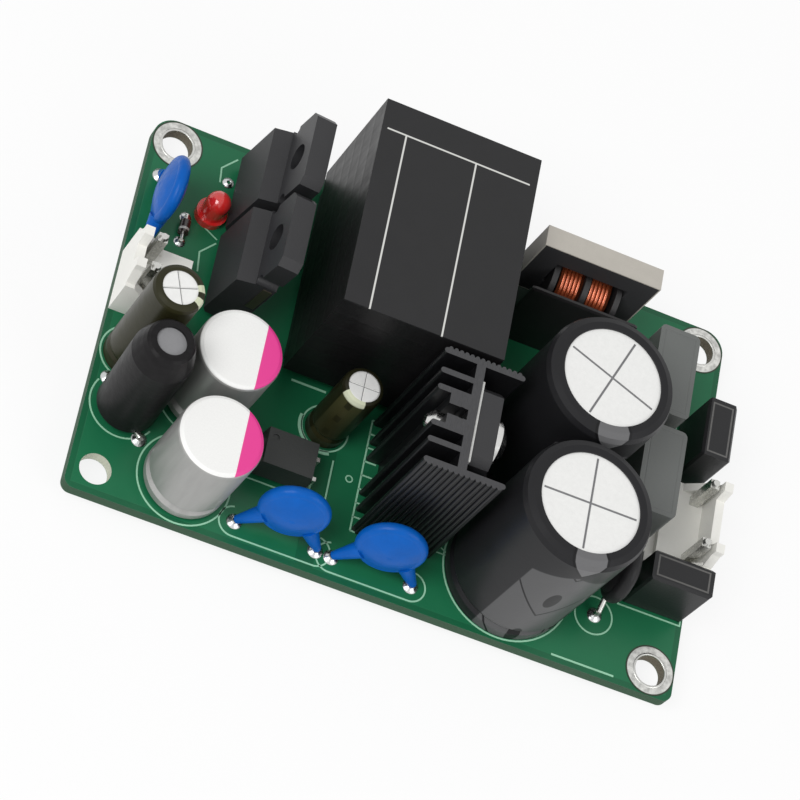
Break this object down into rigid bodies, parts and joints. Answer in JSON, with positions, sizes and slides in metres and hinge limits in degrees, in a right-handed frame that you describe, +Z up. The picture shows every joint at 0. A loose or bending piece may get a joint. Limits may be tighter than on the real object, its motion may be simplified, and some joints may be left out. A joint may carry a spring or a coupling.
{
  "type": "open frame power supply",
  "caption": "Open frame switching power supply: a green circuit board carrying its transformer, choke, capacitors, heatsink, fuses and input and output headers.",
  "frame": {"origin": "centre of the mounting hole pattern, on the underside of the board", "axes": "+X along the board towards the mains input edge, +Y across the board towards the choke and rectifier edge, +Z up through the parts"},
  "size_m": [0.0762, 0.0508, 0.0254],
  "materials": {
    "aluminium_can": "bright aluminium",
    "anodised": "black anodised aluminium",
    "band": "pale band",
    "black_coat": "black coating",
    "black_plastic": "black moulded plastic",
    "black_sleeve": "black shrink sleeve",
    "black_tape": "black polyester tape",
    "blue_coat": "blue epoxy coating",
    "chip_cap": "tan ceramic",
    "copper_wire": "enamelled copper wire",
    "dark_sleeve": "dark grey shrink sleeve",
    "ferrite": "dark sintered ferrite",
    "ferrite_end": "grey ferrite end",
    "frame_strip": "cut lead frame",
    "grey_case": "grey moulded case",
    "label": "dark grey printed label",
    "olive_sleeve": "dark olive shrink sleeve",
    "package": "black moulded package",
    "pad": "white thermal pad",
    "red_lens": "red diffused lens",
    "rubber_seal": "black rubber",
    "screw": "nickel plated steel",
    "silver_can": "satin aluminium",
    "solder": "solder",
    "solder_mask": "green solder mask, satin",
    "tinned_metal": "tin plate",
    "white_nylon": "natural white nylon"
  },
  "bodies": {
    "root": {"pcb": "solder_mask", "mounting_lands": "tinned_metal", "solder_joints": "solder", "post_joints": "solder", "wire_leads": "tinned_metal", "transformer_core": "ferrite", "transformer_bobbin": "black_plastic", "transformer_winding": "copper_wire", "transformer_wrap": "black_tape", "transformer_label": "label", "transformer_pins": "tinned_metal", "choke_core": "ferrite", "choke_band": "band", "choke_bobbin": "black_plastic", "choke_windings": "copper_wire", "choke_pins": "tinned_metal", "bulk_can_1": "aluminium_can", "bulk_can_2": "aluminium_can", "bulk_sleeve_1": "dark_sleeve", "bulk_sleeve_2": "dark_sleeve", "film_capacitor_1": "grey_case", "film_capacitor_2": "grey_case", "polymer_can_1": "silver_can", "polymer_can_2": "silver_can", "polymer_seals": "rubber_seal", "tall_can": "aluminium_can", "tall_sleeve": "olive_sleeve", "supply_can": "aluminium_can", "supply_sleeve": "olive_sleeve", "inductor_core": "ferrite_end", "inductor_sleeve": "black_sleeve", "rectifier_1": "package", "rectifier_2": "package", "switch_transistor": "package", "package_leads": "tinned_metal", "package_strips": "frame_strip", "heatsink": "anodised", "thermal_pad": "pad", "heatsink_screw": "screw", "disc_capacitor_1": "blue_coat", "disc_capacitor_2": "blue_coat", "disc_capacitor_3": "blue_coat", "thermistor": "black_coat", "output_header": "white_nylon", "input_header": "white_nylon", "header_posts": "tinned_metal", "fuse_1": "black_plastic", "fuse_2": "black_plastic", "optocoupler": "package", "optocoupler_leads": "tinned_metal", "lamp": "red_lens", "small_diode": "package", "bridge_rectifier": "package", "controller": "package", "underside_leads": "tinned_metal", "chip_resistors": "package", "chip_capacitors": "chip_cap"}
  },
  "joints": []
}
